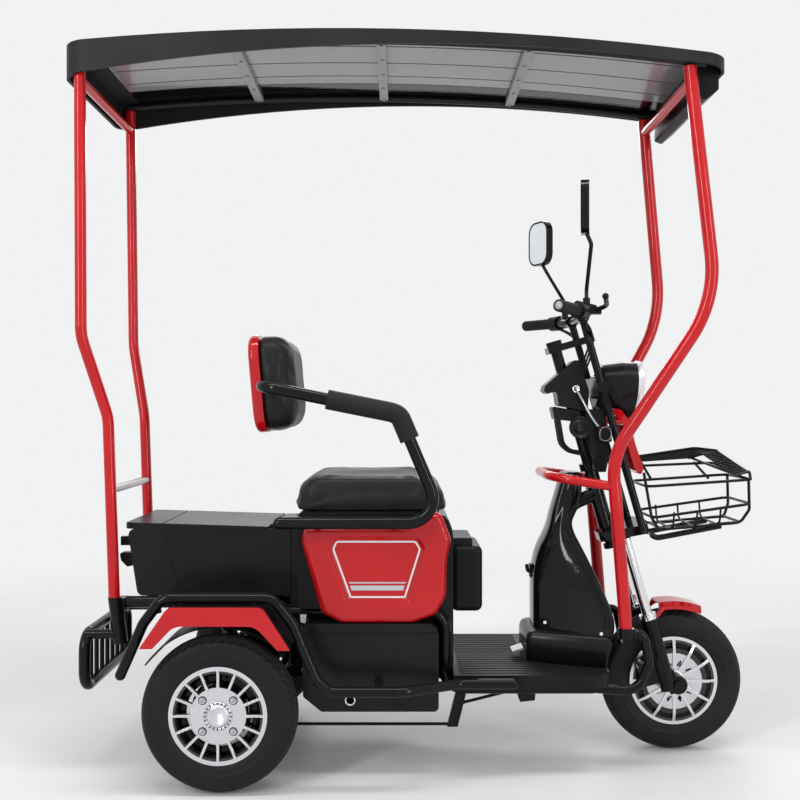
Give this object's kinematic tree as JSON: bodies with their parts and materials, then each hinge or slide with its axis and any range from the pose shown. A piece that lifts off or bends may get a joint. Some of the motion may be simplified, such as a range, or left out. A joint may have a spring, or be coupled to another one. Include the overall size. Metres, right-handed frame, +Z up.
{
  "type": "three-wheeled electric tricycle with roof",
  "caption": "Electric three-wheeler with a bent-tube frame, arched roof on posts, padded seat with armrests, lidded cargo box and front basket.",
  "frame": {"origin": "on the ground, below the middle of the vehicle's bounding box", "axes": "+X the way it drives, +Y its left side, +Z up"},
  "size_m": [1.7298, 0.69, 1.8215],
  "materials": {
    "frame_paint": "gloss black paint",
    "basket_paint": "black coating",
    "frame_red": "gloss red paint",
    "black_plastic": "satin, lightly grained",
    "roof_plastic": "grained",
    "roof_metal": "satin grey",
    "red_gloss": "high gloss",
    "vinyl": "soft grained vinyl",
    "foam": "matte",
    "tyre": "matte",
    "alloy": "machined",
    "steel": "brushed",
    "chrome": "polished",
    "mirror_glass": "polished",
    "lens": "clear"
  },
  "bodies": {
    "chassis": {"main_frame": "frame_paint", "side_rails": "frame_paint", "rear_bumper": "frame_paint", "rear_axle": "frame_paint", "rear_shocks": "frame_paint", "battery_case": "black_plastic", "seat_pedestal": "black_plastic", "seat_base": "black_plastic", "front_tool_box": "black_plastic", "seat_cushion": "vinyl", "armrest_frame": "frame_paint", "armrest_pads": "foam", "backrest_cushion": "vinyl", "backrest_shell": "red_gloss", "cargo_tub": "black_plastic", "box_latches": "black_plastic", "floor_board": "black_plastic", "leg_shield": "black_plastic", "front_guard": "frame_paint", "brake_linkage": "steel", "brake_pedal": "steel", "roof_panel": "roof_plastic", "roof_frame": "roof_metal", "rear_roof_frame": "frame_red", "rear_cross_bar": "steel", "front_roof_frame": "frame_red", "roof_visor": "black_plastic", "side_panel_right": "red_gloss", "fender_right": "black_plastic", "fender_trim_right": "red_gloss", "side_panel_left": "red_gloss", "fender_left": "black_plastic", "fender_trim_left": "red_gloss"},
    "steering": {"fork_legs": "frame_paint", "fork_tubes": "chrome", "steering_stem": "frame_paint", "handlebar": "frame_paint", "grips": "foam", "hand_controls": "black_plastic", "mirrors": "black_plastic", "mirror_glasses": "mirror_glass", "display": "black_plastic", "headlight_shell": "black_plastic", "headlight_ring": "chrome", "headlight_lens": "lens", "lamp_bracket": "frame_paint", "column_cover": "black_plastic", "front_cowl": "red_gloss", "basket": "basket_paint", "front_fender": "red_gloss"},
    "front_wheel": {"front_wheel_rim": "alloy", "brake_disc": "steel", "front_tyre": "tyre"},
    "rear_wheel_right": {"rear_wheel_rim_right": "alloy", "rear_tyre_right": "tyre"},
    "rear_wheel_left": {"rear_wheel_rim_left": "alloy", "rear_tyre_left": "tyre"},
    "cargo_lid": {"cargo_lid": "black_plastic"}
  },
  "joints": [
    {"name": "steering", "type": "hinge", "parent": "chassis", "child": "steering", "pos_m": [0.524, 0, 0.517], "axis": [-0.2756, 0, 0.9613], "range_deg": [-25, 25]},
    {"name": "front_wheel_turn", "type": "hinge", "parent": "steering", "child": "front_wheel", "pos_m": [0.674, 0, 0.185], "axis": [0, 1, 0], "continuous": true},
    {"name": "rear_wheel_right_turn", "type": "hinge", "parent": "chassis", "child": "rear_wheel_right", "pos_m": [-0.472, -0.297, 0.185], "axis": [0, 1, 0], "continuous": true},
    {"name": "rear_wheel_left_turn", "type": "hinge", "parent": "chassis", "child": "rear_wheel_left", "pos_m": [-0.472, 0.297, 0.185], "axis": [0, 1, 0], "continuous": true},
    {"name": "lid_hinge", "type": "hinge", "parent": "chassis", "child": "cargo_lid", "pos_m": [-0.3725, 0, 0.604], "axis": [0, 1, 0], "range_deg": [0, 65]}
  ]
}
